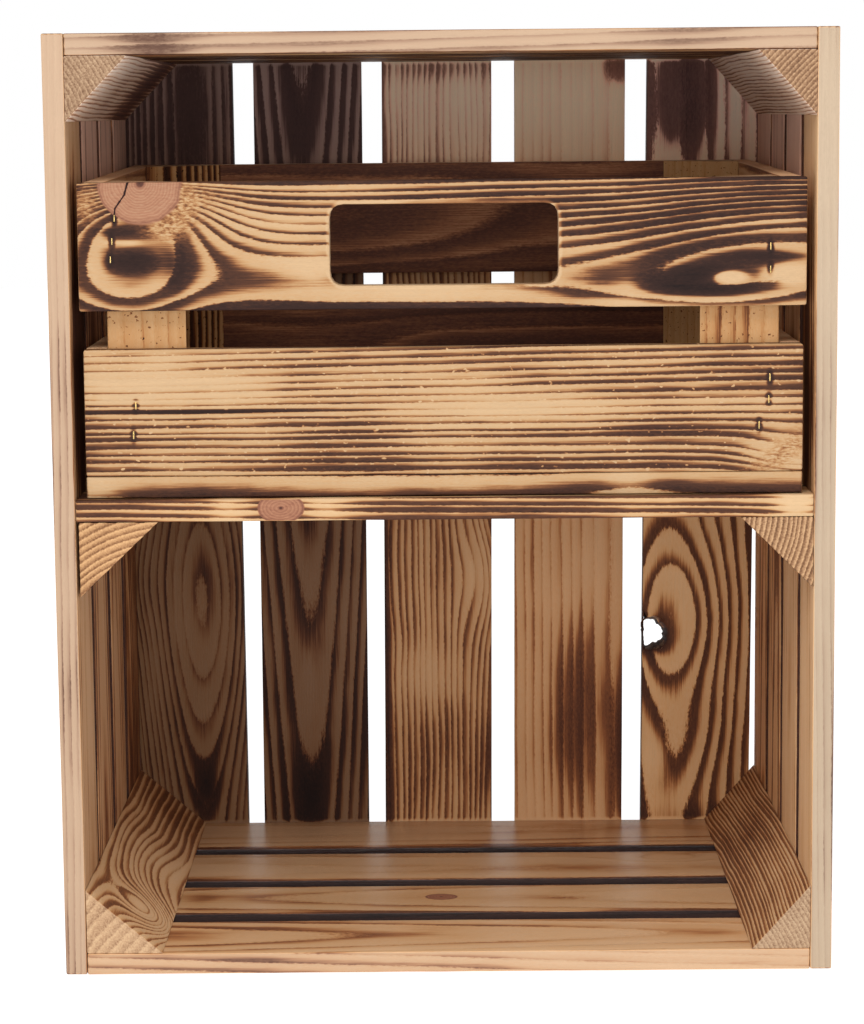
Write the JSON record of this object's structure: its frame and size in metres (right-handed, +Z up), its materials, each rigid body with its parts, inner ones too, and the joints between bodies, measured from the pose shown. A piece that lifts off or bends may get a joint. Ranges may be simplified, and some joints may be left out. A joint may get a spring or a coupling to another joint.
{
  "type": "wooden apple crate",
  "caption": "Upright flamed pine apple crate with slatted back, middle shelf on triangular rails and a loose slatted drawer crate with a hand hole.",
  "frame": {"origin": "middle of the base, between the side panels and between the open front and the back slats", "axes": "+Z up, along the crate's 500 mm length; +Y from the open front to the back slats; +X to the right as seen from the front"},
  "size_m": [0.4116, 0.3, 0.5],
  "materials": {
    "flamed_pine_side": "flamed and brushed pine",
    "flamed_pine_end": "flamed and brushed pine, faint sheen",
    "flamed_pine_post": "flamed pine, sawn ends",
    "flamed_pine_slat": "flamed and brushed pine",
    "flamed_pine_shelf": "flamed and brushed pine",
    "flamed_pine_rail": "flamed pine, sawn ends",
    "flamed_pine_drawer_front": "flamed and brushed pine",
    "flamed_pine_drawer": "flamed and brushed pine",
    "sawn_pine_drawer_post": "rough sawn pine",
    "zinc_staple": "zinc-plated wire",
    "brassy_staple": "resin-coated brassy wire"
  },
  "bodies": {
    "crate": {"side_left_board_1": "flamed_pine_side", "side_left_board_2": "flamed_pine_side", "side_left_board_3": "flamed_pine_side", "side_left_board_4": "flamed_pine_side", "side_right_board_1": "flamed_pine_side", "side_right_board_2": "flamed_pine_side", "side_right_board_3": "flamed_pine_side", "side_right_board_4": "flamed_pine_side", "bottom_board_1": "flamed_pine_end", "bottom_board_2": "flamed_pine_end", "bottom_board_3": "flamed_pine_end", "bottom_board_4": "flamed_pine_end", "top_board_1": "flamed_pine_end", "top_board_2": "flamed_pine_end", "top_board_3": "flamed_pine_end", "top_board_4": "flamed_pine_end", "corner_post_bottom_left": "flamed_pine_post", "corner_post_bottom_right": "flamed_pine_post", "corner_post_top_left": "flamed_pine_post", "corner_post_top_right": "flamed_pine_post", "back_slat_1": "flamed_pine_slat", "back_slat_2": "flamed_pine_slat", "back_slat_3": "flamed_pine_slat", "back_slat_4": "flamed_pine_slat", "back_slat_5": "flamed_pine_slat", "shelf_board_1": "flamed_pine_shelf", "shelf_board_2": "flamed_pine_shelf", "shelf_board_3": "flamed_pine_shelf", "shelf_board_4": "flamed_pine_shelf", "shelf_rail_left": "flamed_pine_rail", "shelf_rail_right": "flamed_pine_rail", "staples_side_panels": "zinc_staple", "staples_end_panels": "zinc_staple", "staples_back_slats": "zinc_staple", "staples_shelf": "zinc_staple", "staples_rails": "zinc_staple"},
    "drawer": {"drawer_front_lower": "flamed_pine_drawer_front", "drawer_front_upper": "flamed_pine_drawer_front", "drawer_back_lower": "flamed_pine_drawer", "drawer_back_upper": "flamed_pine_drawer", "drawer_left_lower": "flamed_pine_drawer", "drawer_left_upper": "flamed_pine_drawer", "drawer_right_lower": "flamed_pine_drawer", "drawer_right_upper": "flamed_pine_drawer", "drawer_post_front_left": "sawn_pine_drawer_post", "drawer_post_front_right": "sawn_pine_drawer_post", "drawer_post_back_left": "sawn_pine_drawer_post", "drawer_post_back_right": "sawn_pine_drawer_post", "drawer_bottom_slat_1": "flamed_pine_drawer", "drawer_bottom_slat_2": "flamed_pine_drawer", "drawer_bottom_slat_3": "flamed_pine_drawer", "drawer_bottom_slat_4": "flamed_pine_drawer", "staples_drawer_front": "brassy_staple", "staples_drawer_back": "zinc_staple", "staples_drawer_sides": "zinc_staple", "staples_drawer_bottom": "zinc_staple"}
  },
  "joints": [
    {"name": "drawer_slide", "type": "slide", "parent": "crate", "child": "drawer", "axis": [0, -1, 0], "range_m": [0, 0.26]}
  ]
}
